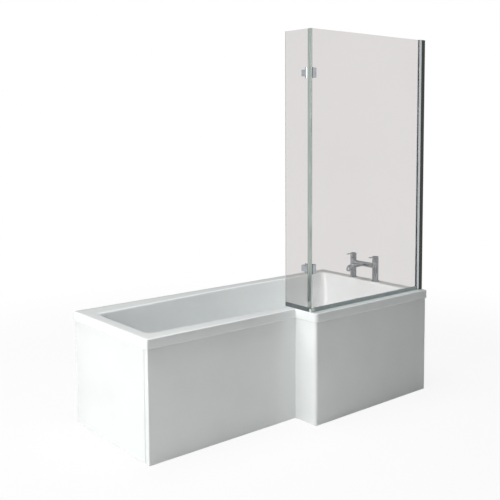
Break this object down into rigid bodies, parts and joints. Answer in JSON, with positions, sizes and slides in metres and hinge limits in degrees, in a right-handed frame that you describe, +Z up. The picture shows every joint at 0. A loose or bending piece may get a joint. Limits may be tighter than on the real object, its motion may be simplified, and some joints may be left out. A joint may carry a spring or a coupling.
{
  "type": "l-shaped shower bath",
  "caption": "L-shaped acrylic shower bath with wrap-round panels, framed underside, pop-up waste, bridge bath filler and a glass screen with a hinged return.",
  "frame": {"origin": "on the floor under the middle of the outline", "axes": "+X towards the tap end, +Y towards the long wall behind the bath, +Z up"},
  "size_m": [1.7, 0.85, 1.945],
  "materials": {
    "white_acrylic": "glossy white acrylic",
    "white_panel": "glossy white acrylic panel",
    "chipboard": "raw moisture-resistant chipboard",
    "softwood": "planed softwood",
    "zinc_steel": "bright zinc plate",
    "grey_plastic": "moulded nylon",
    "white_plastic": "moulded polypropylene",
    "light_pipe": "flexible PVC pipe",
    "black_rubber": "moulded rubber",
    "chrome": "polished chrome plate",
    "steel_pin": "stainless steel",
    "brass": "turned brass",
    "aerator_grey": "moulded grey plastic",
    "bright_aluminium": "bright polished aluminium",
    "clear_glass": "clear toughened glass",
    "clear_seal": "clear flexible PVC"
  },
  "bodies": {
    "bath": {"bath_shell": "white_acrylic", "front_panel": "white_panel", "end_panel": "white_panel", "base_board": "chipboard", "rim_battens": "softwood", "plinth_battens": "softwood", "support_rails": "zinc_steel", "rail_screws": "zinc_steel", "foot_studs": "zinc_steel", "foot_nuts": "zinc_steel", "wall_hangers": "zinc_steel", "panel_clips": "zinc_steel", "overflow_clips": "zinc_steel", "profile_screws": "zinc_steel", "foot_pads": "grey_plastic", "trap_nuts": "grey_plastic", "waste_body": "white_plastic", "bath_trap": "white_plastic", "overflow_body": "white_plastic", "overflow_pipe": "light_pipe", "waste_gasket": "black_rubber", "overflow_gasket": "black_rubber", "tap_washers": "black_rubber", "glazing_gasket": "black_rubber", "hinge_gaskets": "black_rubber", "waste_flange": "chrome", "overflow_plate": "chrome", "filler_body": "chrome", "filler_spout": "chrome", "tap_flanges": "chrome", "lower_hinge_bracket": "chrome", "upper_hinge_bracket": "chrome", "hinge_clamps": "chrome", "hinge_pins": "steel_pin", "hinge_screws": "steel_pin", "tap_backnuts": "brass", "headworks": "brass", "aerator": "aerator_grey", "wall_channel": "bright_aluminium", "glazing_profile": "bright_aluminium", "corner_strip": "bright_aluminium", "channel_cap": "bright_aluminium", "main_glass": "clear_glass", "main_bottom_seal": "clear_seal", "corner_foot": "clear_seal"},
    "return_panel": {"return_glass": "clear_glass", "return_bottom_seal": "clear_seal", "return_edge_seal": "clear_seal", "lower_hinge_leaf": "chrome", "upper_hinge_leaf": "chrome", "leaf_clamps": "chrome", "leaf_screws": "steel_pin", "leaf_gaskets": "black_rubber"},
    "back_handle": {"back_lever": "chrome", "back_spindle": "brass"},
    "front_handle": {"front_lever": "chrome", "front_spindle": "brass"},
    "knob": {"overflow_knob": "chrome"},
    "plug": {"waste_plug": "chrome", "plug_seal": "black_rubber"}
  },
  "joints": [
    {"name": "return_swing", "type": "hinge", "parent": "bath", "child": "return_panel", "pos_m": [0.013, -0.348, 1.257], "axis": [0, 0, 1], "range_deg": [0, 90]},
    {"name": "back_tap_turn", "type": "hinge", "parent": "bath", "child": "back_handle", "pos_m": [0.815, 0.12, 0.69], "axis": [0, 0, 1], "range_deg": [-90, 0]},
    {"name": "front_tap_turn", "type": "hinge", "parent": "bath", "child": "front_handle", "pos_m": [0.815, -0.06, 0.69], "axis": [0, 0, 1], "range_deg": [0, 90]},
    {"name": "knob_turn", "type": "hinge", "parent": "bath", "child": "knob", "pos_m": [0.76329, 0.03, 0.423], "axis": [-0.9932, 0, 0.1168], "range_deg": [0, 90]},
    {"name": "plug_lift", "type": "slide", "parent": "bath", "child": "plug", "axis": [0, 0, 1], "range_m": [0, 0.01]}
  ],
  "couplings": [
    {"joint": "plug_lift", "follows": "knob_turn", "m_per_rad": 0.006366}
  ]
}
